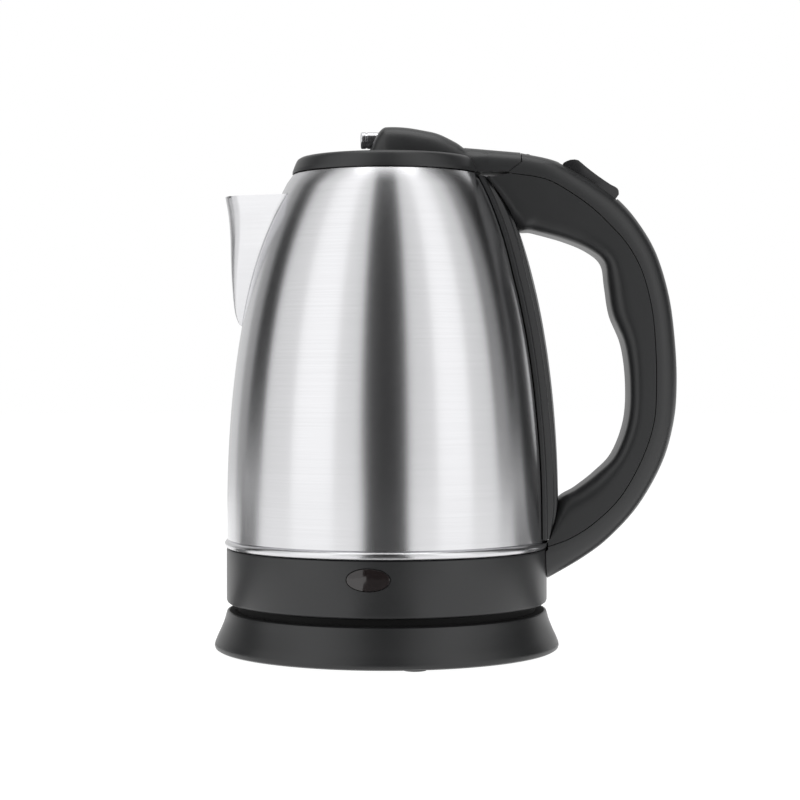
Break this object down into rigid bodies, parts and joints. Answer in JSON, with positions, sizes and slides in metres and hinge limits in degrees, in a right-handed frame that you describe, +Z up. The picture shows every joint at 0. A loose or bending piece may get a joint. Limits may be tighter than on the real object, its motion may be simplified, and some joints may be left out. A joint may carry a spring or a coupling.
{
  "type": "electric kettle",
  "caption": "Cordless electric kettle with a brushed steel body, a black plastic handle and hinged lid, and a round power base with a swivelling plug",
  "frame": {"origin": "on the kettle's upright axis, level with the surface it stands on", "axes": "+Z up, +X towards the handle, so the spout points along -X and the indicator faces -Y"},
  "size_m": [0.2085, 0.1554, 0.2362],
  "materials": {
    "steel_brushed": "stainless sheet, brushed round the body",
    "plastic_black": "charcoal black moulding with a fine satin grain",
    "plastic_dark": "plain black moulding",
    "plastic_grey": "plain grey moulding",
    "steel_plain": "plain zinc-plated or drawn steel",
    "aluminium": "pressed sheet",
    "chrome": "polished plating",
    "brass": "stamped strip",
    "silicone": "translucent grey silicone",
    "rubber": "moulded black rubber",
    "lens_dark": "dark smoked glossy lens",
    "lamp_glass": "clear glass tube",
    "wire_red": "wire sleeve",
    "wire_blue": "wire sleeve"
  },
  "bodies": {
    "power_base": {"base_bottom_plate": "plastic_black", "base_housing": "plastic_black", "base_screw_1": "steel_plain", "base_screw_2": "steel_plain", "base_screw_3": "steel_plain", "base_socket": "plastic_grey", "cord_grommet": "rubber", "rubber_foot_1": "rubber", "rubber_foot_2": "rubber", "rubber_foot_3": "rubber", "rubber_foot_4": "rubber", "socket_contact_earth": "brass", "socket_contact_live": "brass", "socket_contact_neutral": "brass"},
    "coupler": {"plug_housing": "plastic_black", "plug_pin_live": "brass", "plug_ring_earth": "brass", "plug_ring_neutral": "brass"},
    "kettle": {"base_collar": "plastic_black", "bimetal_disc_1": "brass", "bimetal_disc_2": "brass", "bottom_cover": "plastic_black", "bottom_screw_1": "steel_plain", "bottom_screw_2": "steel_plain", "bottom_screw_3": "steel_plain", "bracket_lower": "steel_plain", "bracket_upper": "steel_plain", "controller": "plastic_dark", "element_plate": "steel_brushed", "handle_cover": "plastic_black", "handle_grip": "plastic_black", "handle_screw_lower": "steel_plain", "handle_screw_upper": "steel_plain", "handle_strip": "plastic_black", "heat_spreader": "aluminium", "heating_element": "steel_plain", "hinge_pin": "chrome", "indicator_lens": "lens_dark", "kettle_body": "steel_brushed", "neon_lamp": "lamp_glass", "rocker_pin": "chrome", "spout": "steel_brushed", "spout_filter": "plastic_grey", "steam_bimetal": "brass", "steam_tube": "silicone", "switch_housing": "plastic_grey", "switch_wire_1": "wire_red", "switch_wire_2": "wire_blue"},
    "lid": {"lid_cover": "plastic_black", "lid_inner_plate": "steel_brushed", "lid_gasket": "silicone", "lid_screw_1": "steel_plain", "lid_screw_2": "steel_plain"},
    "lid_button": {"lid_button": "chrome", "latch_bar": "brass", "button_spring": "steel_plain"},
    "rocker": {"switch_rocker": "plastic_black"}
  },
  "joints": [
    {"name": "lift_off", "type": "slide", "parent": "power_base", "child": "coupler", "axis": [0, 0, 1], "range_m": [0, 0.06]},
    {"name": "swivel", "type": "hinge", "parent": "coupler", "child": "kettle", "pos_m": [0, 0, 0.03], "axis": [0, 0, 1], "continuous": true},
    {"name": "lid_hinge", "type": "hinge", "parent": "kettle", "child": "lid", "pos_m": [0.0632, 0, 0.2216], "axis": [0, 1, 0], "range_deg": [0, 75]},
    {"name": "lid_button_press", "type": "slide", "parent": "lid", "child": "lid_button", "axis": [1, 0, 0], "range_m": [0, 0.004], "stiffness_N_per_m": 300, "springref_m": -0.002, "deforming": ["button_spring"]},
    {"name": "rocker_tilt", "type": "hinge", "parent": "kettle", "child": "rocker", "pos_m": [0.08765, 0, 0.20584], "axis": [0, 1, 0], "range_deg": [-8, 0]}
  ]
}
